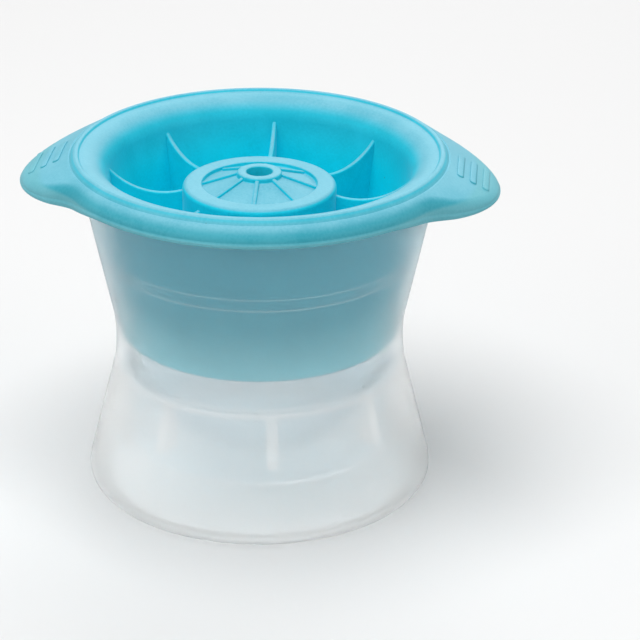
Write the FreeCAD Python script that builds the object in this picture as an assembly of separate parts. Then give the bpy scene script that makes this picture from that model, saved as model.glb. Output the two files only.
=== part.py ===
# Mold for one large ice ball, in millimetres.
# A soft lid with a hollow plug seats in a stiff cup with a narrow waist. The lower half of the
# ball is a bowl in the cup, the upper half is a dome in the plug, and the two meet at the
# parting plane. +Z is up, the origin is at the centre of the foot, and the lid's two grip
# tabs point along +X and -X.
import FreeCAD, Part
import math
import os

# Ball and the parting plane
ball_radius = 31.75
bowl_wall = 1.8
bowl_lift = 8.45

# Cup: waisted outer wall, sealing bore above the ledge, rolled foot
cup_wall = 1.8
ledge_width = 3.4
upper_height = 44.3
upper_flare = 12.0
lower_flare = 14.0
waist_drop = 2.3
waist_blend = 38.0
foot_round = 4.0
foot_lip = 1.1
bore_taper = 8.0
seal_height = 20.5
lead_in_height = 3.6
rim_break = 0.4

# Underside of the cup: web round the bowl, support ring and gussets
web_depth = 9.0
ring_wall = 1.6
ring_depth = 21.0
gusset_count = 8
gusset_width = 2.2
gusset_depth = 15.5
gusset_turn = 10.8
gusset_round_share = 0.45

# Lid: plug, dome and well
plug_clearance = 0.2
plug_edge_break = 0.4
lid_wall = 2.5
trough_rise = 11.0
trough_break = 0.5
well_edge_round = 6.5

# Lid: brim over the cup's rim, with a raised bead and a groove on top
rim_clearance = 0.3
channel_clearance = 0.35
lip_depth = 2.6
lip_width = 4.6
brim_cover = 2.8
brim_edge_round = 4.6
bead_inset = 4.7
bead_width = 1.85
bead_height = 1.1
bead_break = 0.35
groove_width = 0.9
groove_depth = 0.5

# Lid: grip tabs, whose top falls outwards as the brim's does, with ridges across them
tab_length = 10.3
tab_radius = 25.5
tab_blend = 20.0
brim_fall = 27.5
tab_pad_inset = 15.3
tab_pad_run = 13.5
tab_pad_depth = 2.5
tab_pad_fall = 3.5
tab_pad_blend = 25.0
ridge_count = 3
ridge_start = 0.4
ridge_pitch = 3.1
ridge_width = 1.1
ridge_length = 14.0
ridge_height = 0.5

# Lid: hub on the dome, its dished top, and the vent boss
hub_radius = 19.5
hub_rise = 4.85
hub_round = 1.3
dish_radius = 14.6
dish_depth = 1.2
dish_rise = 1.9
boss_radius = 5.7
boss_rise = 3.1
boss_round = 0.6
vent_radius = 3.3

# Lid: ribs from the hub to the well wall, and spokes in the dish
rib_count = 8
rib_width = 1.3
rib_drop = 3.5
rib_dip = 5.5
rib_sweep = 18.0
rib_rise = 7.2
spoke_width = 1.1
spoke_height = 0.7

# Cutters run past the surface that they cut by the overrun, and fused pieces go in by the bite
overrun = 5.0
bite = 0.6

# An edge counts as upright when its direction has this much of +Z or more
upright_cosine = 0.99

UP = FreeCAD.Vector(0, 0, 1)
ORIGIN = FreeCAD.Vector(0, 0, 0)


def tan(degrees):
    return math.tan(math.radians(degrees))


def cos(degrees):
    return math.cos(math.radians(degrees))


# Levels and radii that follow from the driving sizes
ball_z = bowl_lift + bowl_wall + ball_radius
bore_radius = ball_radius + ledge_width
waist_radius = bore_radius + cup_wall
waist_z = ball_z - waist_drop
waist_corner = waist_radius - waist_blend * (1 / cos((upper_flare + lower_flare) / 2) - 1)
rim_z = ball_z + upper_height
rim_radius = waist_corner + (rim_z - waist_z) * tan(upper_flare)
foot_corner = waist_corner + waist_z * tan(lower_flare)
foot_flat = foot_corner - foot_round * tan(45 + lower_flare / 2)
ceiling_z = ball_z - web_depth
channel_z = rim_z + rim_clearance
channel_radius = rim_radius + channel_clearance
brim_radius = channel_radius + lip_width
brim_z = channel_z + brim_cover
lip_z = channel_z - lip_depth
bead_ring = brim_radius - bead_inset
slope_radius = bead_ring + bead_width / 2
hub_z = ball_z + ball_radius + lid_wall + hub_rise
boss_z = hub_z + boss_rise
tab_reach = brim_radius + tab_length
under_z = lip_z - 4 * overrun


def point(r, z):
    """Point of a section: r from the axis, z up."""
    return FreeCAD.Vector(r, 0, z)


def outline_face(corners):
    """Flat section from corners (r, z) or (r, z, rounding)."""
    places = [point(c[0], c[1]) for c in corners]
    radii = [c[2] if len(c) > 2 else 0 for c in corners]
    spans = []
    for i, place in enumerate(places):
        before = (places[i - 1] - place).normalize()
        after = (places[(i + 1) % len(places)] - place).normalize()
        half = before.getAngle(after) / 2
        reach = radii[i] / math.tan(half)
        middle = (before + after).normalize() * (radii[i] / math.sin(half) - radii[i])
        spans.append((place + before * reach, place + middle, place + after * reach))
    edges = []
    for i, (start, middle, end) in enumerate(spans):
        if radii[i]:
            edges.append(Part.Arc(start, middle, end).toShape())
        edges.append(Part.LineSegment(end, spans[(i + 1) % len(spans)][0]).toShape())
    return Part.Face(Part.Wire(edges))


def turned(corners):
    """Solid turned about the axis from a section."""
    return outline_face(corners).revolve(ORIGIN, UP, 360)


def inset(path, distance):
    """The path moved to the left of its own direction, with its corners kept sharp."""
    lines = []
    for (r0, z0), (r1, z1) in zip(path, path[1:]):
        length = math.hypot(r1 - r0, z1 - z0)
        dr, dz = (r1 - r0) / length, (z1 - z0) / length
        lines.append((r0 - dz * distance, z0 + dr * distance, dr, dz))
    last_r, last_z = path[-1][0] - lines[-1][3] * distance, path[-1][1] + lines[-1][2] * distance
    moved = [(lines[0][0], lines[0][1])]
    for (r0, z0, dr0, dz0), (r1, z1, dr1, dz1) in zip(lines, lines[1:]):
        along = ((r1 - r0) * dz1 - (z1 - z0) * dr1) / (dr0 * dz1 - dz0 * dr1)
        moved.append((r0 + dr0 * along, z0 + dz0 * along))
    return moved + [(last_r, last_z)]


def radial_plate(corners, width):
    """Plate of the given width in the plane of the axis, from a section."""
    plate = outline_face(corners)
    plate.translate(FreeCAD.Vector(0, -width / 2, 0))
    return plate.extrude(FreeCAD.Vector(0, width, 0))


def around(shape, count, first=0.0):
    """Copies of a shape at even steps about the axis."""
    copies = []
    for i in range(count):
        copy = shape.copy()
        copy.rotate(ORIGIN, UP, first + i * 360 / count)
        copies.append(copy)
    return copies


def drum(radius, z0, z1):
    """Cylinder on the axis between two heights."""
    return Part.makeCylinder(radius, z1 - z0, point(0, z0))


def skirt_path():
    """Outer line of the cup's wall, from the foot's inner lip up to the rim."""
    return [(foot_flat - foot_lip, 0), (foot_corner, 0), (waist_corner, waist_z), (rim_radius, rim_z)]


def skirt_solid(depth):
    """All that lies inside the cup's outer wall, set in by depth."""
    lip, foot, waist, rim = inset(skirt_path(), depth)
    return turned([
        (0, foot[1]),
        (*foot, foot_round - depth),
        (*waist, waist_blend + depth),
        rim,
        (0, rim[1]),
    ])


def bore_at(z):
    """Radius of the sealing bore at height z."""
    return bore_radius + (z - ball_z) * tan(bore_taper)


def cup_bore():
    """Space above the ledge: sealing bore, lead-in, then a wall of even thickness."""
    seal_z = ball_z + seal_height
    wide_z = seal_z + lead_in_height
    thin = cup_wall / cos(upper_flare)
    wide_radius = waist_corner + (wide_z - waist_z) * tan(upper_flare) - thin
    top_z = rim_z + overrun
    top_radius = waist_corner + (top_z - waist_z) * tan(upper_flare) - thin
    return turned([
        (0, ball_z),
        (bore_radius, ball_z),
        (bore_at(seal_z), seal_z),
        (wide_radius, wide_z),
        (top_radius, top_z),
        (0, top_z),
    ])


def cup_underside():
    """Space below the bowl and web, inside a foot that is rolled in."""
    lip, foot, waist, rim = inset(skirt_path(), cup_wall)
    space = turned([
        (0, -overrun),
        (lip[0], -overrun),
        lip,
        foot,
        (*waist, waist_blend + cup_wall),
        rim,
        (0, rim[1]),
    ])
    space = space.common(drum(foot_corner + overrun, -overrun, ceiling_z))
    return space.cut(Part.makeSphere(ball_radius + bowl_wall, point(0, ball_z)))


def support_ring():
    """Ring that hangs from the web, tangent to the bowl."""
    outer = ball_radius + bowl_wall
    bottom = ceiling_z - ring_depth
    top = ceiling_z + bite
    return turned([
        (outer - ring_wall, bottom),
        (outer, bottom),
        (outer, top),
        (outer - ring_wall, top),
    ])


def gussets():
    """Radial plates between the support ring and the skirt, round at their lower edge."""
    inner = ball_radius + bowl_wall - ring_wall / 2
    bottom = ceiling_z - gusset_depth
    top = ceiling_z + bite
    plate = radial_plate([(inner, bottom), (foot_corner, bottom), (foot_corner, top), (inner, top)],
                         gusset_width)
    low_edges = [e for e in plate.Edges
                 if e.BoundBox.ZMax < bottom + bite and e.BoundBox.XLength > gusset_width]
    plate = plate.makeFillet(gusset_width * gusset_round_share, low_edges)
    plate = plate.common(skirt_solid(cup_wall / 2))
    return around(plate, gusset_count, gusset_turn)


def build_cup():
    cup = skirt_solid(0)
    cup = cup.cut(cup_bore())
    cup = cup.cut(Part.makeSphere(ball_radius, point(0, ball_z)))
    cup = cup.cut(cup_underside())
    cup = cup.fuse([support_ring()] + gussets())
    cup = cup.removeSplitter()
    rim_edges = [e for e in cup.Edges if e.BoundBox.ZMin > rim_z - rim_break]
    return cup.makeChamfer(rim_break, rim_edges)


def plug_at(z, depth=0.0):
    """Radius of the plug's outside at height z, set in by depth."""
    return bore_at(z) - plug_clearance - depth / cos(bore_taper)


def plug_solid(depth, top):
    """The plug from the parting plane up to top, set in by depth."""
    return turned([
        (0, ball_z),
        (plug_at(ball_z, depth) - plug_edge_break, ball_z),
        (plug_at(ball_z + plug_edge_break, depth), ball_z + plug_edge_break),
        (plug_at(top, depth), top),
        (0, top),
    ])


def brim_plan():
    """Plan of the brim: a round brim with two tabs, joined by hollow curves."""
    tab_x = tab_reach - tab_radius
    outer, inner = brim_radius + tab_blend, tab_radius + tab_blend
    blend_x = (outer ** 2 - inner ** 2 + tab_x ** 2) / (2 * tab_x)
    blend_y = math.sqrt(outer ** 2 - blend_x ** 2)
    ring_x, ring_y = blend_x * brim_radius / outer, blend_y * brim_radius / outer
    lean = math.atan2(blend_y, blend_x - tab_x)
    join_x = tab_x + tab_radius * math.cos(lean)
    join_y = tab_radius * math.sin(lean)
    to_ring = math.atan2(ring_y - blend_y, ring_x - blend_x)
    to_tab = math.atan2(join_y - blend_y, join_x - blend_x)
    half_way = (to_ring + to_tab) / 2
    hollow_x = blend_x + tab_blend * math.cos(half_way)
    hollow_y = blend_y + tab_blend * math.sin(half_way)
    edges = []
    for side in (1, -1):
        def at(x, y):
            return FreeCAD.Vector(side * x, side * y, 0)
        edges.append(Part.Arc(at(-ring_x, ring_y), at(0, brim_radius), at(ring_x, ring_y)))
        edges.append(Part.Arc(at(ring_x, ring_y), at(hollow_x, hollow_y), at(join_x, join_y)))
        edges.append(Part.Arc(at(join_x, join_y), at(tab_reach, 0), at(join_x, -join_y)))
        edges.append(Part.Arc(at(join_x, -join_y), at(hollow_x, -hollow_y), at(ring_x, -ring_y)))
    return Part.Face(Part.Wire([e.toShape() for e in edges]))


def brim_cap(lift):
    """All that lies under the brim's top, which is level inside the bead and falls outside it."""
    far_r = tab_reach + overrun
    cap = turned([
        (0, under_z),
        (far_r, under_z),
        (far_r, brim_z - (far_r - slope_radius) * tan(brim_fall)),
        (slope_radius, brim_z),
        (0, brim_z),
    ])
    cap.translate(UP * lift)
    return cap


def brim_under():
    """Spaces under the brim: below the lip and the thicker tabs, and the channel over the rim."""
    low = under_z - overrun
    far = tab_reach + overrun
    pad_x = brim_radius - tab_pad_inset
    full_x = pad_x + tab_pad_run
    full_z = lip_z - tab_pad_depth
    tip_z = full_z - (far - full_x) * tan(tab_pad_fall)
    half = [
        (full_x, full_z, tab_pad_blend),
        (pad_x, lip_z, tab_pad_blend),
    ]
    below = outline_face(
        [(-far, low), (far, low), (far, tip_z)] + half
        + [(-x, z, blend) for x, z, blend in reversed(half)] + [(-far, tip_z)])
    below.translate(FreeCAD.Vector(0, -far, 0))
    return [below.extrude(FreeCAD.Vector(0, 2 * far, 0)), drum(channel_radius, low, channel_z)]


def brim_solid():
    """Brim with its rounded outer edge, underside and grip ridges."""
    start_z = under_z + overrun
    column = brim_plan()
    column.translate(point(0, start_z))
    column = column.extrude(UP * (brim_z + overrun - start_z))
    brim = column.common(brim_cap(0))
    edge = [e for e in brim.Edges if e.BoundBox.ZMin > start_z + overrun
            and min(math.hypot(v.Point.x, v.Point.y) for v in e.Vertexes) > slope_radius + bite
            and abs(e.tangentAt(e.FirstParameter).z) < upright_cosine]
    brim = brim.makeFillet(brim_edge_round, edge)
    raised = brim_cap(ridge_height)
    for side in (1, -1):
        for i in range(ridge_count):
            x = side * (brim_radius + ridge_start + i * ridge_pitch)
            bar = Part.makeBox(ridge_width, ridge_length, brim_z - start_z)
            bar.translate(FreeCAD.Vector(x - ridge_width / 2, -ridge_length / 2, start_z + overrun))
            brim = brim.fuse(bar.common(raised))
    return brim.cut(brim_under())


def bead():
    """Raised bead round the top of the brim."""
    half = bead_width / 2
    return turned([
        (bead_ring - half, brim_z - bite),
        (bead_ring + half, brim_z - bite),
        (bead_ring + half, brim_z),
        (bead_ring + half - bead_break, brim_z + bead_height - bead_break),
        (bead_ring + half - 2 * bead_break, brim_z + bead_height),
        (bead_ring - half + 2 * bead_break, brim_z + bead_height),
        (bead_ring - half + bead_break, brim_z + bead_height - bead_break),
        (bead_ring - half, brim_z),
    ])


def groove():
    """Groove that runs round outside the bead."""
    bottom_r = slope_radius + groove_width / 2
    bottom_z = brim_z - groove_width / 2 * tan(brim_fall) - groove_depth
    return turned([
        (slope_radius, brim_z + overrun),
        (slope_radius, brim_z),
        (bottom_r, bottom_z),
        (slope_radius + groove_width, brim_z - groove_width * tan(brim_fall)),
        (slope_radius + groove_width, brim_z + overrun),
    ])


def well_space():
    """Space inside the plug's wall, down to the trough round the dome."""
    floor_z = ball_z + trough_rise
    top_z = brim_z + overrun
    return turned([
        (0, floor_z),
        (plug_at(floor_z, lid_wall) - trough_break, floor_z),
        (plug_at(floor_z + trough_break, lid_wall), floor_z + trough_break),
        (plug_at(brim_z, lid_wall), brim_z, well_edge_round),
        (bead_ring, brim_z),
        (bead_ring, top_z),
        (0, top_z),
    ])


def hub():
    """Hub on top of the dome, with a dished face and the vent boss."""
    dish_z = hub_z - dish_depth
    return turned([
        (0, ball_z + ball_radius / 2),
        (hub_radius, ball_z + ball_radius / 2),
        (hub_radius, hub_z, hub_round),
        (dish_radius, hub_z),
        (dish_radius, dish_z),
        (boss_radius, hub_z + dish_rise),
        (boss_radius, boss_z, boss_round),
        (0, boss_z),
    ])


def spokes():
    """Low spokes on the dish, in line with the ribs."""
    dish_z = hub_z - dish_depth
    inner_z = hub_z + dish_rise
    plate = radial_plate([
        (boss_radius - bite, inner_z - spoke_height),
        (dish_radius + bite, dish_z - spoke_height),
        (dish_radius + bite, dish_z + spoke_height),
        (boss_radius - bite, inner_z + spoke_height),
    ], spoke_width)
    return around(plate, rib_count)


def ribs():
    """Ribs from the hub to the well wall, whose top sweeps up towards the wall."""
    dip_r = hub_radius + rib_dip
    dip_z = hub_z - rib_drop
    low = ball_z + trough_rise
    wall_z = dip_z + rib_rise
    plate = radial_plate([
        (hub_radius - bite, low),
        (channel_radius, low),
        (channel_radius, wall_z),
        (hub_radius - bite, wall_z),
    ], rib_width)
    sweep = Part.makeCylinder(rib_sweep, 2 * rib_width,
                              FreeCAD.Vector(dip_r, rib_width, dip_z + rib_sweep),
                              FreeCAD.Vector(0, -1, 0))
    plate = plate.cut(sweep)
    plate = plate.common(plug_solid(lid_wall / 2, brim_z))
    return around(plate, rib_count)


def build_lid():
    lid = brim_solid().fuse(plug_solid(0, channel_z + bite))
    lid = lid.cut([well_space(), groove()])
    lid = lid.fuse(bead())
    dome = Part.makeSphere(ball_radius + lid_wall, point(0, ball_z))
    dome = dome.common(drum(ball_radius + overrun, ball_z, boss_z))
    lid = lid.fuse([dome, hub()] + ribs() + spokes())
    lid = lid.cut(Part.makeSphere(ball_radius, point(0, ball_z)))
    lid = lid.cut(drum(vent_radius, ball_z, boss_z + overrun))
    return lid.removeSplitter()


def main():
    os.makedirs("parts", exist_ok=True)
    nodes = {"cup": build_cup(), "lid": build_lid()}
    for name, shape in nodes.items():
        box = shape.BoundBox
        print(name, "solids", len(shape.Solids), "valid", shape.isValid(),
              "volume", round(shape.Volume), "height", round(box.ZMin, 2), round(box.ZMax, 2),
              "length", round(box.XLength, 2), "width", round(box.YLength, 2))
        shape.exportStep("parts/" + name + ".step")


main()
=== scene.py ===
# Ice ball mold: the dressed model. A blue silicone lid sits in a frosted, waisted cup.
import math

import bmesh
import bpy
from mathutils import Matrix, Vector


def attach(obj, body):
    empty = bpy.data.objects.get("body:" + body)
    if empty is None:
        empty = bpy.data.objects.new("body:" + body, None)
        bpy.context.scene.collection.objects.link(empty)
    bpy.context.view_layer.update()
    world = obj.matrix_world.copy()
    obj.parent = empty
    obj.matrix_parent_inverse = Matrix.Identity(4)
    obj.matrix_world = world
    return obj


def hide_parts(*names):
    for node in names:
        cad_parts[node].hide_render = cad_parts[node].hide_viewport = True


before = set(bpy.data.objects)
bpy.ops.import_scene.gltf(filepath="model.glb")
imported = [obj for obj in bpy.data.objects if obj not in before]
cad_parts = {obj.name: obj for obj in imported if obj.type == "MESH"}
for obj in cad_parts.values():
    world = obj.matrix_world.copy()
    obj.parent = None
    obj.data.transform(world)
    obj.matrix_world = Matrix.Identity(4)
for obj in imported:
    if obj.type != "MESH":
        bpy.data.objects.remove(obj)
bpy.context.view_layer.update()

mm = 0.001
turn_steps = 240

# Cavity and bore, which the lid and the cup share, in millimetres
ball_radius = 31.75
ball_z = 42.0
bore_radius = 35.15
bore_draft = math.radians(8.0)
bore_slope = math.tan(bore_draft)
plug_gap = 0.2

# Hub, ribs and ridges of the lid
hub_radius = 19.5
hub_z = 81.1
rib_count = 8
rib_width = 1.3
ridge_count = 3
ridge_step = 3.2
ridge_size = (1.7, 14.4, 1.1)

# Cup: the step in its bore, its skirt, the ring under its ledge and the gussets between them
rim_z = 86.3
step_low_z = 62.5
step_high_z = 66.1
step_radius = 39.72
foot_radius = 39.628
hem_z = 1.8
skirt_low = 43.544
skirt_high = 35.83
ceiling_z = 33.0
ring_outer = 33.55
ring_inner = 31.95
ring_z = 12.0
gusset_count = 8
gusset_first = 10.8  # degrees by which the cup stands turned under the lid
gusset_z = 19.4
gusset_width = 2.6

# Brim and tabs of the lid
brim_z = 89.4
brim_radius = 50.8
brim_slope = math.tan(math.radians(27.5))
slope_radius = 47.025  # where the top starts to fall
start_r = 48.15  # outside the bead's groove, from where the tabs are drawn out
edge_radius = 50.56  # above the lip, which flares a little
edge_inset = 2.5  # how wide the rounded edge is that moves with the outline
edge_depth = 3.13  # of the round brim's edge, down to its lip's rounding
lip_z = 84.0
lip_round = 0.3
channel_radius = 46.2
tab_reach = 60.85
tab_radius = 25.5
tab_blend = 20.0
pad_start = 35.5  # the underside sinks towards a tab from here, over pad_run
pad_run = 13.5
pad_blend = 1.5  # by which that starts sooner and ends later
pad_depth = 2.5
pad_fall = math.tan(math.radians(3.5))

# Sockets of a Mix node, whose names repeat: for numbers and for colours
number_a, number_b, number_mix = 2, 3, 0
colour_a, colour_b, colour_mix = 6, 7, 2


def corner_reach(before, corner, after, rounding):
    """How far along its two sides a corner's rounding runs."""
    here = Vector(corner[:2])
    turn = math.pi - (Vector(before[:2]) - here).angle(Vector(after[:2]) - here)
    return rounding * math.tan(turn / 2)


def section(corners):
    """Closed flat section in the plane of the axis, from corners (r, z) or (r, z, rounding)."""
    bm = bmesh.new()
    points = [bm.verts.new((c[0] * mm, 0, c[1] * mm)) for c in corners]
    bm.faces.new(points)
    for i, corner in enumerate(corners):
        if len(corner) > 2:
            rounding = corner[2]
            after = corners[(i + 1) % len(corners)]
            reach = corner_reach(corners[i - 1], corner, after, rounding)
            segments = 4 if rounding < 1 else 8 if rounding < 10 else 28
            bmesh.ops.bevel(bm, geom=[points[i]], offset=reach * mm, offset_type="OFFSET",
                            affect="VERTICES", segments=segments, profile=0.5, material=-1)
    return bm


def turned(corners):
    """Section turned about the axis into a closed body."""
    bm = section(corners)
    bmesh.ops.delete(bm, geom=bm.faces[:], context="FACES_ONLY")
    on_axis = [e for e in bm.edges if all(abs(v.co.x) < 1e-6 for v in e.verts)]
    bmesh.ops.delete(bm, geom=on_axis, context="EDGES")
    bmesh.ops.spin(bm, geom=bm.verts[:] + bm.edges[:], cent=(0, 0, 0), axis=(0, 0, 1),
                   angle=math.tau, steps=turn_steps, use_merge=True, use_duplicate=False)
    bmesh.ops.remove_doubles(bm, verts=bm.verts[:], dist=0.002 * mm)
    bmesh.ops.recalc_face_normals(bm, faces=bm.faces[:])
    return bm


def widen(bm, width):
    """Give a flat face a width, centred on the plane of the axis."""
    sides = bmesh.ops.extrude_face_region(bm, geom=bm.faces[:])
    moved = [g for g in sides["geom"] if isinstance(g, bmesh.types.BMVert)]
    bmesh.ops.translate(bm, verts=moved, vec=(0, width * mm, 0))
    bmesh.ops.translate(bm, verts=bm.verts[:], vec=(0, -width / 2 * mm, 0))
    bmesh.ops.recalc_face_normals(bm, faces=bm.faces[:])


def plate(corners, width):
    """Section given a width."""
    bm = section(corners)
    widen(bm, width)
    return bm


def keeps_side(edge):
    """Whether an edge keeps to one side of a plate, and doesn't run through its width."""
    return abs(edge.verts[0].co.y - edge.verts[1].co.y) < 1e-6


def soften(bm, edges, radius, segments=3):
    """Round these edges of a body."""
    bmesh.ops.bevel(bm, geom=edges, offset=radius * mm, offset_type="OFFSET", affect="EDGES",
                    segments=segments, profile=0.5, material=-1, clamp_overlap=True)


def around(bm, count, first=0.0):
    """Repeat a body at even steps about the axis, from an angle in degrees."""
    base = bm.verts[:] + bm.edges[:] + bm.faces[:]
    for i in range(1, count):
        copy = bmesh.ops.duplicate(bm, geom=base)["geom"]
        verts = [g for g in copy if isinstance(g, bmesh.types.BMVert)]
        turn = Matrix.Rotation(math.tau * i / count, 3, "Z")
        bmesh.ops.rotate(bm, verts=verts, cent=(0, 0, 0), matrix=turn)
    if first:
        turn = Matrix.Rotation(math.radians(first), 3, "Z")
        bmesh.ops.rotate(bm, verts=bm.verts[:], cent=(0, 0, 0), matrix=turn)


def piece(name, bm, material, sharp=35.0):
    """Object from a body, smooth but for its sharp edges."""
    mesh = bpy.data.meshes.new(name)
    bm.to_mesh(mesh)
    bm.free()
    for face in mesh.polygons:
        face.use_smooth = True
    mesh.set_sharp_from_angle(angle=math.radians(sharp))
    made = bpy.data.objects.new(name, mesh)
    bpy.context.scene.collection.objects.link(made)
    mesh.materials.append(material)
    return made


def bore_at(z):
    """Radius of the cup's bore."""
    return bore_radius + (z - ball_z) * bore_slope


def plug_at(z, depth=0.0):
    """Outside of the lid's plug, or its inside with the wall's depth."""
    return bore_at(z) - plug_gap - depth / math.cos(bore_draft)


def brim_top(r):
    """Height of the brim's top where it falls outwards."""
    return brim_z - max(0.0, r - slope_radius) * brim_slope


def brim_outline(x, y):
    """Distance of the brim's outline from the axis, in the direction of a point."""
    length = math.hypot(x, y)
    dx, dy = abs(x) / length, abs(y) / length
    tab_x = tab_reach - tab_radius
    outer, inner = brim_radius + tab_blend, tab_radius + tab_blend
    blend_x = (outer ** 2 - inner ** 2 + tab_x ** 2) / (2 * tab_x)
    blend_y = math.sqrt(outer ** 2 - blend_x ** 2)
    angle = math.atan2(dy, dx)
    if angle > math.atan2(blend_y, blend_x):
        return brim_radius
    lean = math.atan2(blend_y, blend_x - tab_x)
    join = math.atan2(tab_radius * math.sin(lean), tab_x + tab_radius * math.cos(lean))
    if angle < join:
        along = dx * tab_x
        return along + math.sqrt(along ** 2 - tab_x ** 2 + tab_radius ** 2)
    along = dx * blend_x + dy * blend_y
    return along - math.sqrt(max(0.0, along ** 2 - outer ** 2 + tab_blend ** 2))


def smooth(t):
    """Soft step from 0 to 1."""
    t = min(1.0, max(0.0, t))
    return t * t * (3 - 2 * t)


def brim_below(x):
    """Height of the brim's underside: it falls towards the tabs."""
    far = abs(x)
    drop = pad_depth * smooth((far - pad_start + pad_blend) / (pad_run + 2 * pad_blend))
    return lip_z - drop - max(0.0, far - pad_start - pad_run) * pad_fall


def draw_out_tabs(bm):
    """Pull the round brim's edge out to the outline with two tabs."""
    edge_r = brim_radius - edge_inset
    top_side = lip_z + 1.5
    slack = 0.02
    for v in bm.verts:
        x, y, z = (c / mm for c in v.co)
        r = math.hypot(x, y)
        if z < lip_z - 1 or r < channel_radius - 0.35 or (r < start_r and z > top_side):
            continue
        reach = brim_outline(x, y)
        if r > edge_r - slack and z > lip_z + lip_round - slack:
            # The rounded edge and the lip below it, stretched to the brim's depth there
            new_r = reach - (brim_radius - r)
            below = brim_top(r) - z
            x, y = x * new_r / r, y * new_r / r
            depth = brim_top(reach) - brim_below(x) - lip_round
            z = brim_top(new_r) - below * depth / edge_depth
        elif z > top_side:
            # The top between the groove and the rounded edge
            new_r = start_r + (r - start_r) * (reach - edge_inset - start_r) / (edge_r - start_r)
            x, y = x * new_r / r, y * new_r / r
            z = brim_top(new_r) - (brim_top(r) - z)
        elif z < lip_z + lip_round + slack:
            # The underside beyond the channel
            new_r = r + (reach - brim_radius) * smooth((r - channel_radius - 1) / 3)
            x, y = x * new_r / r, y * new_r / r
            z = z - lip_z + brim_below(x)
        v.co = Vector((x, y, z)) * mm


def lid_shell(material):
    """Brim, bead, well, hub, plug and dome as one turned body, with its tabs drawn out."""
    wall = 2.5
    bm = turned([
        (3.3, 84.2, 0.4),
        (5.7, 84.2, 0.6),
        (5.7, 83.0, 0.4),
        (14.6, 79.9, 0.4),
        (14.6, hub_z, 0.35),
        (hub_radius, hub_z, 1.3),
        (hub_radius, 70.2, 1.0),
        (28.79, 63.72, 29.0),
        (32.43, 53.0, 0.5),
        (plug_at(53.0, wall), 53.0, 0.6),
        (plug_at(brim_z, wall), brim_z, 6.5),
        (45.175, brim_z, 0.35),
        (45.6, 90.1, 0.55),
        (46.6, 90.1, 1.0),
        (47.75, 88.65, 0.2),
        (48.03, brim_top(48.03), 0.12),
        (start_r, brim_top(start_r)),
        (edge_radius, brim_top(edge_radius), 4.2),
        (edge_radius, 85.35, 0.4),
        (brim_radius, 84.8, 0.3),
        (brim_radius, lip_z, lip_round),
        (channel_radius, lip_z, 0.2),
        (channel_radius, 86.6, 0.3),
        (plug_at(86.6), 86.6, 0.5),
        (plug_at(ball_z), ball_z, 0.5),
        (ball_radius, ball_z),
        (ball_radius, 70.5, 31.6),
        (3.3, 73.578),
    ])
    draw_out_tabs(bm)
    bmesh.ops.recalc_face_normals(bm, faces=bm.faces[:])
    shell = piece("lid_shell", bm, material)
    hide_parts("lid")
    return shell


def lid_ribs(material):
    """Ribs from the hub to the well wall, with a swept top."""
    inner_r = hub_radius - 0.5
    foot_z = 53.5
    sweep_z = 95.6
    sweep_drop = math.sqrt(18.0 ** 2 - 6.0 ** 2)
    bm = bmesh.new()
    centre = Vector((25.0, 0, sweep_z)) * mm
    start = bm.verts.new(Vector((inner_r, 0, sweep_z - sweep_drop)) * mm)
    arc = bmesh.ops.spin(bm, geom=[start], cent=centre, axis=(0, -1, 0),
                         angle=math.radians(70.0), steps=20, use_duplicate=False)
    end = [g for g in arc["geom_last"] if isinstance(g, bmesh.types.BMVert)][0]
    low = bm.verts.new((33.5 * mm, 0, foot_z * mm))
    inner = bm.verts.new((inner_r * mm, 0, foot_z * mm))
    wall_top = bm.verts.new((plug_at(84.6, 1.3) * mm, 0, end.co.z))
    for a, b in ((end, wall_top), (wall_top, low), (low, inner), (inner, start)):
        bm.edges.new((a, b))
    bmesh.ops.contextual_create(bm, geom=bm.edges[:])
    widen(bm, rib_width)
    top = [e for e in bm.edges if min(v.co.z for v in e.verts) > 76 * mm and keeps_side(e)]
    soften(bm, top, 0.45)
    around(bm, rib_count)
    return piece("lid_ribs", bm, material)


def lid_spokes(material):
    """Low spokes on the hub's dish, in line with the ribs."""
    bm = plate([(5.2, 82.4), (14.9, 79.0), (14.9, 80.5), (5.2, 83.9)], 1.1)
    top = [e for e in bm.edges if min(v.co.z for v in e.verts) > 80.2 * mm and keeps_side(e)
           and abs(e.verts[0].co.x - e.verts[1].co.x) > mm]
    soften(bm, top, 0.35)
    around(bm, rib_count)
    return piece("lid_spokes", bm, material)


def tab_ridges(material):
    """Grip ridges across each tab, which follow the fall of the brim's top."""
    bm = bmesh.new()
    for side in (1, -1):
        for i in range(ridge_count):
            made = bmesh.ops.create_cube(bm, size=mm)["verts"]
            bmesh.ops.scale(bm, verts=made, vec=ridge_size)
            place = (side * (brim_radius + ridge_step * i) * mm, 0.4 * mm, -0.17 * mm)
            bmesh.ops.translate(bm, verts=made, vec=place)
    upright = [e for e in bm.edges if abs(e.verts[0].co.z - e.verts[1].co.z) > 0.5 * mm]
    soften(bm, upright, 0.8, 5)
    top = [e for e in bm.edges if min(v.co.z for v in e.verts) > 0.3 * mm]
    soften(bm, top, 0.38, 4)
    # Cut across, so that each ridge can bend with the brim
    for cut in range(-6, 7, 2):
        bmesh.ops.bisect_plane(bm, geom=bm.verts[:] + bm.edges[:] + bm.faces[:],
                               plane_co=(0, cut * mm, 0), plane_no=(0, 1, 0))
    for v in bm.verts:
        v.co.z += brim_top(math.hypot(v.co.x, v.co.y) / mm) * mm
    return piece("tab_ridges", bm, material)


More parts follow.
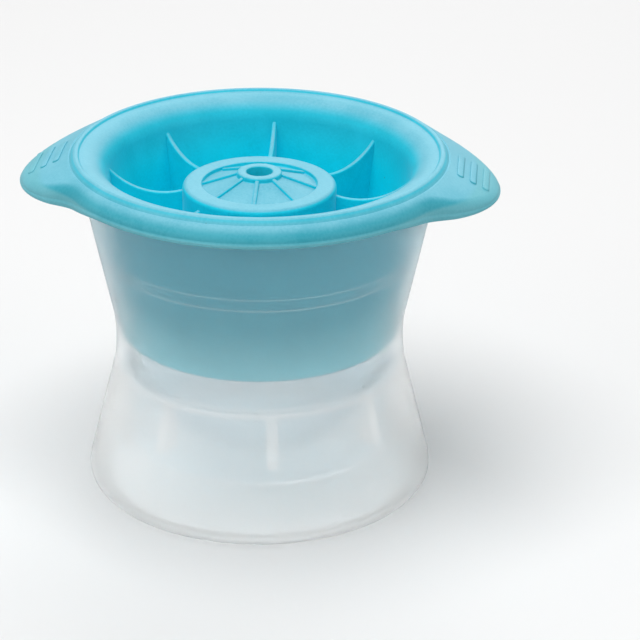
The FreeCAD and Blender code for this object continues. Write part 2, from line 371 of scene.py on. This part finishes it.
def finish_by_place(mesh):
    """Milkier finishes on the cup: 1 on small moulded edges, 2 on gussets, waist and hem."""
    # Each edge: its distance from the axis, its height and how far its milky finish reaches
    edges = ((bore_at(step_low_z), step_low_z, 0.5), (step_radius, step_high_z, 0.5),
             (skirt_high, ceiling_z, 0.32), (33.0, ring_z, 1.0))
    step = math.tau / gusset_count
    first = math.radians(gusset_first)
    for face in mesh.polygons:
        x, y, z = (c / mm for c in face.center)
        r = math.hypot(x, y)
        turn = (math.atan2(y, x) - first + step / 2) % step - step / 2
        lowest = min(mesh.vertices[i].co.z for i in face.vertices) / mm
        skirt_r = skirt_low - (z - hem_z) * (skirt_low - skirt_high) / (ceiling_z - hem_z)
        on_gusset = (ring_outer + 0.05 < r < skirt_r - 0.04
                     and lowest > gusset_z - 0.1 and z < ceiling_z - 0.1
                     and abs(r * math.sin(turn)) < gusset_width / 2 + 0.05)
        on_waist = r > 37.3 and ceiling_z < z < 41.8
        on_hem = r < 43.6 and z < hem_z + 0.5
        on_edge = any(math.hypot(r - edge_r, z - edge_z) < reach for edge_r, edge_z, reach in edges)
        face.material_index = 1 if on_edge else 2 if on_gusset or on_waist or on_hem else 0


def cup_body(material, edge_material, thick_material):
    """Waisted wall, bowl, ledge, bore, foot and support ring as one turned body with gussets."""
    bm = turned([
        (0, 10.25),
        (ball_radius, 10.25, ball_radius),
        (ball_radius, ball_z),
        (bore_radius, ball_z, 0.3),
        (bore_at(step_low_z), step_low_z, 0.7),
        (step_radius, step_high_z, 0.7),
        (44.015, rim_z, 0.5),
        (45.855, rim_z, 0.5),
        (35.95, 39.7, 38.0),
        (45.848, 0, 4.0),
        (foot_radius, 0, 0.4),
        (foot_radius, hem_z, 0.4),
        (skirt_low, hem_z, 2.2),
        (skirt_high, ceiling_z, 0.6),
        (ring_outer, ceiling_z, 0.3),
        (ring_outer, 12.9),  # parts the milky finish of the ring's edge from the wall above
        (ring_outer, ring_z, 0.5),
        (ring_inner, ring_z, 0.5),
        (ring_inner, 31.76),
        (24.48, 8.45, 33.5),
        (0, 8.45),
    ])
    body = piece("cup_body", bm, material)
    in_ring = 32.75
    gusset = plate([(in_ring, gusset_z), (39.09, gusset_z), (35.73, ceiling_z), (35.6, 33.6),
                    (in_ring, 33.6)], gusset_width)
    low = [e for e in gusset.edges if max(v.co.z for v in e.verts) < 20 * mm and keeps_side(e)]
    soften(gusset, low, 1.2, 5)
    around(gusset, gusset_count, gusset_first)
    gussets = piece("gussets", gusset, material)
    join = body.modifiers.new("gussets", "BOOLEAN")
    join.operation = "UNION"
    join.solver = "EXACT"
    join.object = gussets
    bpy.context.view_layer.update()
    graph = bpy.context.evaluated_depsgraph_get()
    joined = bpy.data.meshes.new_from_object(body.evaluated_get(graph))
    body.modifiers.clear()
    body.data = joined
    body.data.name = "cup_body"
    bpy.data.objects.remove(gussets)
    joined.set_sharp_from_angle(angle=math.radians(35))
    joined.materials.clear()
    for finish in (material, edge_material, thick_material):
        joined.materials.append(finish)
    finish_by_place(joined)
    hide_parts("cup")
    return body


def new_material(name):
    """Material with nodes, its node tree and its shader."""
    material = bpy.data.materials.new(name)
    material.use_nodes = True
    tree = material.node_tree
    return material, tree, tree.nodes["Principled BSDF"]


def mottle_group():
    """Soft cloudiness, a fine moulded grain and sparse specks, for both plastics."""
    group = bpy.data.node_groups.new("moulded_surface", "ShaderNodeTree")
    face = group.interface
    for name in ("Cloud Size", "Grain Size", "Grain Depth", "Speck Strength"):
        face.new_socket(name, in_out="INPUT", socket_type="NodeSocketFloat")
    for name in ("Cloud", "Height", "Speck"):
        face.new_socket(name, in_out="OUTPUT", socket_type="NodeSocketFloat")
    nodes, links = group.nodes, group.links
    given = nodes.new("NodeGroupInput")
    made = nodes.new("NodeGroupOutput")
    place = nodes.new("ShaderNodeTexCoord")
    cloud = nodes.new("ShaderNodeTexNoise")
    cloud.inputs["Detail"].default_value = 3.0
    grain = nodes.new("ShaderNodeTexNoise")
    grain.inputs["Detail"].default_value = 2.0
    links.new(place.outputs["Object"], cloud.inputs["Vector"])
    links.new(place.outputs["Object"], grain.inputs["Vector"])
    links.new(given.outputs["Cloud Size"], cloud.inputs["Scale"])
    links.new(given.outputs["Grain Size"], grain.inputs["Scale"])
    raised = product(group, grain.outputs["Fac"], given.outputs["Grain Depth"])
    # Cloud and grain share the colour, so it looks moulded and not painted
    mottle = nodes.new("ShaderNodeMix")
    mottle.inputs["Factor"].default_value = 0.4
    links.new(cloud.outputs["Fac"], mottle.inputs[number_a])
    links.new(grain.outputs["Fac"], mottle.inputs[number_b])
    stretch = ramped(group, mottle.outputs[number_mix], 0.32, 0.68)
    # Specks: the middles of a few scattered cells
    cells = nodes.new("ShaderNodeTexVoronoi")
    cells.inputs["Scale"].default_value = 260.0
    links.new(place.outputs["Object"], cells.inputs["Vector"])
    chosen = nodes.new("ShaderNodeSeparateColor")
    links.new(cells.outputs["Color"], chosen.inputs[0])
    near = ramped(group, cells.outputs["Distance"], 0.03, 0.09, 1.0, 0.0)
    few = ramped(group, chosen.outputs[0], 0.86, 0.95)
    speck = product(group, near, few, given.outputs["Speck Strength"])
    links.new(stretch, made.inputs["Cloud"])
    links.new(raised, made.inputs["Height"])
    links.new(speck, made.inputs["Speck"])
    return group


def mixed(tree, amount, first, second):
    """Mix of two colours, each a value or the output of another node."""
    mix = tree.nodes.new("ShaderNodeMix")
    mix.data_type = "RGBA"
    tree.links.new(amount, mix.inputs["Factor"])
    for socket, colour in ((mix.inputs[colour_a], first), (mix.inputs[colour_b], second)):
        if isinstance(colour, tuple):
            socket.default_value = colour
        else:
            tree.links.new(colour, socket)
    return mix.outputs[colour_mix]


def ramped(tree, value, start, end, low=0.0, high=1.0):
    """Soft step from low to high, as a value goes from start to end."""
    step = tree.nodes.new("ShaderNodeMapRange")
    step.interpolation_type = "SMOOTHSTEP"
    step.inputs["From Min"].default_value = start
    step.inputs["From Max"].default_value = end
    step.inputs["To Min"].default_value = low
    step.inputs["To Max"].default_value = high
    tree.links.new(value, step.inputs["Value"])
    return step.outputs["Result"]


def product(tree, mask, *others):
    """Values multiplied together."""
    for other in others:
        both = tree.nodes.new("ShaderNodeMath")
        both.operation = "MULTIPLY"
        tree.links.new(mask, both.inputs[0])
        tree.links.new(other, both.inputs[1])
        mask = both.outputs[0]
    return mask


def from_axis(tree):
    """Distance of a point from the mold's axis."""
    place = tree.nodes.new("ShaderNodeTexCoord")
    across = tree.nodes.new("ShaderNodeVectorMath")
    across.operation = "MULTIPLY"
    across.inputs[1].default_value = (1, 1, 0)
    length = tree.nodes.new("ShaderNodeVectorMath")
    length.operation = "LENGTH"
    tree.links.new(place.outputs["Object"], across.inputs[0])
    tree.links.new(across.outputs[0], length.inputs[0])
    return length.outputs["Value"]


def upward(tree, kind):
    """Height of a point ("Object"), or how far its face looks up ("Normal")."""
    place = tree.nodes.new("ShaderNodeTexCoord")
    parts = tree.nodes.new("ShaderNodeSeparateXYZ")
    tree.links.new(place.outputs[kind], parts.inputs[0])
    return parts.outputs["Z"]


def dress(tree, shader, group, clouds, grain, depth, pale, deep, rough, specks=0.0):
    """Cloudy colour and roughness, a fine grain and a few fine specks on a material."""
    speck_tone = (0.03, 0.12, 0.16, 1)
    nodes, links = tree.nodes, tree.links
    surface = nodes.new("ShaderNodeGroup")
    surface.node_tree = group
    surface.inputs["Cloud Size"].default_value = clouds
    surface.inputs["Grain Size"].default_value = grain
    surface.inputs["Grain Depth"].default_value = depth
    surface.inputs["Speck Strength"].default_value = specks
    colour = mixed(tree, surface.outputs["Cloud"], deep, pale)
    colour = mixed(tree, surface.outputs["Speck"], colour, speck_tone)
    links.new(colour, shader.inputs["Base Color"])
    gloss = nodes.new("ShaderNodeMapRange")
    gloss.inputs["To Min"].default_value = rough[0]
    gloss.inputs["To Max"].default_value = rough[1]
    links.new(surface.outputs["Cloud"], gloss.inputs["Value"])
    links.new(gloss.outputs["Result"], shader.inputs["Roughness"])
    bump = nodes.new("ShaderNodeBump")
    bump.inputs["Strength"].default_value = 0.35
    bump.inputs["Distance"].default_value = 0.0001
    links.new(surface.outputs["Height"], bump.inputs["Height"])
    links.new(bump.outputs["Normal"], shader.inputs["Normal"])


def silicone(group):
    """Soft blue silicone, with light and shade painted into its tones. These go by height and
    distance from the axis, in metres.
    """
    material, tree, shader = new_material("blue_silicone")
    shader.inputs["IOR"].default_value = 1.41
    shader.inputs["Specular IOR Level"].default_value = 0.25
    shader.inputs["Sheen Weight"].default_value = 0.12
    shader.inputs["Sheen Roughness"].default_value = 0.3
    z = upward(tree, "Object")
    radius = from_axis(tree)
    # A painted sheen: paler on the faces at the top that look up, where the light above glances off
    # them
    painted_sheen = product(tree, ramped(tree, upward(tree, "Normal"), 0.5, 0.9),
                    ramped(tree, z, 0.074, 0.08))
    # The lip's low edge takes some light from the pale cup
    lip = product(tree, ramped(tree, z, 0.0846, 0.0857, 1.0, 0.0),
                  ramped(tree, radius, 0.048, 0.0485))
    # Distance from the axis, less what the plug widens by up to that height
    lean = tree.nodes.new("ShaderNodeMath")
    lean.operation = "MULTIPLY_ADD"
    lean.inputs[1].default_value = -bore_slope
    tree.links.new(z, lean.inputs[0])
    tree.links.new(radius, lean.inputs[2])
    plug_foot = (plug_at(ball_z) - ball_z * bore_slope) * mm
    beside = ramped(tree, lean.outputs[0], plug_foot - 2.3 * mm, plug_foot + 0.3 * mm)
    # The brim's top lies as far out as the plug does, and isn't toned as its outside
    on_brim = product(tree, ramped(tree, z, 0.0862, 0.0872),
                      ramped(tree, radius, 0.0468, 0.0478, 1.0, 0.0))
    # Outside, the tone is painted light at the plug's foot and painted shade higher up: on the plug
    # under the brim, the brim's outer face and the tabs
    outside = product(tree, beside, ramped(tree, on_brim, 0.0, 1.0, 1.0, 0.0))
    # In the well a brighter, deeper tone is painted light bouncing between its walls, with less of
    # it towards the top
    well_top = ramped(tree, z, 0.073, 0.087)
    above = ramped(tree, z, 0.041, 0.059)
    # Deep and then pale: in the well, at its top, at the plug's foot, higher up, painted sheen and
    # lip
    tones = []
    for bounce_lit_well, high_well, lit_plug_foot, shaded_outside, sheen_tone, lit_lip in (
            ((0.0, 0.65, 0.80, 1), (0.01, 0.48, 0.62, 1), (0.22, 0.64, 0.74, 1),
             (0.04, 0.36, 0.46, 1), (0.12, 0.45, 0.57, 1), (0.12, 0.44, 0.52, 1)),
            ((0.0, 0.73, 0.89, 1), (0.02, 0.54, 0.69, 1), (0.26, 0.68, 0.78, 1),
             (0.07, 0.42, 0.52, 1), (0.18, 0.51, 0.63, 1), (0.16, 0.49, 0.57, 1))):
        tone = mixed(tree, outside, mixed(tree, well_top, bounce_lit_well, high_well),
                     mixed(tree, above, lit_plug_foot, shaded_outside))
        tones.append(mixed(tree, lip, mixed(tree, painted_sheen, tone, sheen_tone), lit_lip))
    deep, pale = tones
    dress(tree, shader, group, clouds=110.0, grain=1500.0, depth=1.0, pale=pale, deep=deep,
          rough=(0.42, 0.55), specks=0.45)
    return material


def frosted(group, name, clear):
    """Frosted plastic that lets this share of the light through, and blurs it."""
    material, tree, shader = new_material(name)
    # Far below the plastic's real value, so that it blurs without bending the view much
    shader.inputs["IOR"].default_value = 1.078
    shader.inputs["Transmission Weight"].default_value = clear
    z = upward(tree, "Object")
    radius = from_axis(tree)
    within = ramped(tree, radius, 0.0336, 0.0342, 1.0, 0.0)
    # Pale and then deep: off-white at the foot, clear above it, bluish inside at the ring and the
    # bowl, greyer at the waist and bluish beside the plug. The blue is painted light from the blue
    # silicone, and beside the plug the darker tone is also painted shade under the brim.
    tones = []
    for foot, body, ring, waist, top in (
            ((0.915, 0.915, 0.912, 1), (1.0, 1.0, 0.997, 1), (0.93, 0.98, 1.0, 1),
             (0.87, 0.88, 0.885, 1), (0.77, 0.86, 0.89, 1)),
            ((0.885, 0.885, 0.882, 1), (0.985, 0.987, 0.987, 1), (0.91, 0.96, 0.985, 1),
             (0.84, 0.85, 0.855, 1), (0.74, 0.83, 0.86, 1))):
        tone = mixed(tree, ramped(tree, z, 0.004, 0.018), foot, body)
        tone = mixed(tree, within, tone, ring)
        tone = mixed(tree, ramped(tree, z, 0.034, 0.048), tone, waist)
        tones.append(mixed(tree, ramped(tree, z, 0.048, 0.074), tone, top))
    pale, deep = tones
    dress(tree, shader, group, clouds=60.0, grain=2200.0, depth=0.6, pale=pale, deep=deep,
          rough=(0.48, 0.59))
    # The lamps' light passes through the wall, and more of it through the bowl and the ring
    path = tree.nodes.new("ShaderNodeLightPath")
    unseen = tree.nodes.new("ShaderNodeMath")
    unseen.operation = "MAXIMUM"
    through = tree.nodes.new("ShaderNodeMapRange")
    through.inputs["To Min"].default_value = 1.0
    tree.links.new(path.outputs["Is Shadow Ray"], unseen.inputs[0])
    tree.links.new(path.outputs["Is Diffuse Ray"], unseen.inputs[1])
    tree.links.new(unseen.outputs[0], through.inputs["Value"])
    tree.links.new(ramped(tree, radius, 0.034, 0.0355, 0.05, 0.22), through.inputs["To Max"])
    tree.links.new(through.outputs["Result"], shader.inputs["Alpha"])
    return material


def when_seen(tree, lighting, gloss, seen, through):
    """Level of a surface as it lights others, in gloss, as it is seen and through the cup."""
    path = tree.nodes.new("ShaderNodeLightPath")
    level = lighting
    for kind, shown in (("Is Glossy Ray", gloss), ("Is Camera Ray", seen),
                        ("Is Transmission Ray", through)):
        mix = tree.nodes.new("ShaderNodeMix")
        tree.links.new(path.outputs[kind], mix.inputs["Factor"])
        if isinstance(level, float):
            mix.inputs[number_a].default_value = level
        else:
            tree.links.new(level, mix.inputs[number_a])
        mix.inputs[number_b].default_value = shown
        level = mix.outputs[number_mix]
    return level


def studio():
    """Pale floor, a broad soft light above, weaker ones around, and the camera."""
    scene = bpy.context.scene
    scene.view_settings.view_transform = "Standard"
    world = bpy.data.worlds.new("studio")
    scene.world = world
    world.use_nodes = True
    back = world.node_tree.nodes["Background"]
    back.inputs["Color"].default_value = (1, 1, 1, 1)
    level = when_seen(world.node_tree, lighting=0.32, gloss=0.6, seen=0.9, through=0.85)
    world.node_tree.links.new(level, back.inputs["Strength"])

    bm = bmesh.new()
    bmesh.ops.create_grid(bm, x_segments=1, y_segments=1, size=3.0)
    pale, tree, shader = new_material("floor")
    shader.inputs["Roughness"].default_value = 0.9
    level = when_seen(tree, lighting=0.6, gloss=0.5, seen=0.78, through=0.95)
    tree.links.new(level, shader.inputs["Base Color"])
    # Out of the lamps' reach the floor stays pale where it is seen
    path = tree.nodes.new("ShaderNodeLightPath")
    far = product(tree, ramped(tree, from_axis(tree), 0.45, 1.9, 0.0, 0.62),
                  path.outputs["Is Camera Ray"])
    tree.links.new(far, shader.inputs["Emission Color"])
    shader.inputs["Emission Strength"].default_value = 1.0
    floor = piece("floor", bm, pale)

    # Lamps aimed at the mold's middle: place and size in metres, power in watts
    for name, place, size, power in (
            ("top_light", (-0.15, -0.2, 1.15), 0.9, 11.0),
            ("left_light", (-1.0, -0.7, 0.5), 0.7, 2.3),
            ("right_light", (1.1, -0.5, 0.5), 0.7, 3.0),
            ("back_light", (0.1, 1.1, 0.75), 0.9, 5.5)):
        light = bpy.data.lights.new(name, "AREA")
        light.size = size
        light.energy = power
        lamp = bpy.data.objects.new(name, light)
        lamp.location = place
        aim = Vector((0, 0, 0.06)) - Vector(place)
        lamp.rotation_euler = aim.to_track_quat("-Z", "Y").to_euler()
        scene.collection.objects.link(lamp)

    camera_data = bpy.data.cameras.new("camera")
    camera_data.sensor_width = 36.0
    camera_data.lens = 145.0
    camera_data.clip_start = 0.01
    camera = bpy.data.objects.new("camera", camera_data)
    # The lid's tabs stand a little turned against the view
    lid_turn = Matrix.Rotation(math.radians(4.5), 4, "Z")
    place = Matrix.Translation(Vector((15.6, -607.2, 320.1)) * mm)
    pitch = Matrix.Rotation(math.radians(65.47), 4, "X")
    roll = Matrix.Rotation(math.radians(0.496), 4, "Z")
    camera.matrix_world = lid_turn @ place @ pitch @ roll
    scene.collection.objects.link(camera)
    scene.camera = camera


def main():
    group = mottle_group()
    blue = silicone(group)
    frost = frosted(group, "frosted_plastic", clear=0.9)
    milky = frosted(group, "frosted_edge", clear=0.3)
    thick = frosted(group, "frosted_thick", clear=0.65)
    lid_pieces = [lid_shell(blue), lid_ribs(blue), lid_spokes(blue), tab_ridges(blue)]
    for made in lid_pieces:
        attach(made, "lid")
    cup = cup_body(frost, milky, thick)
    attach(cup, "cup")
    studio()


main()
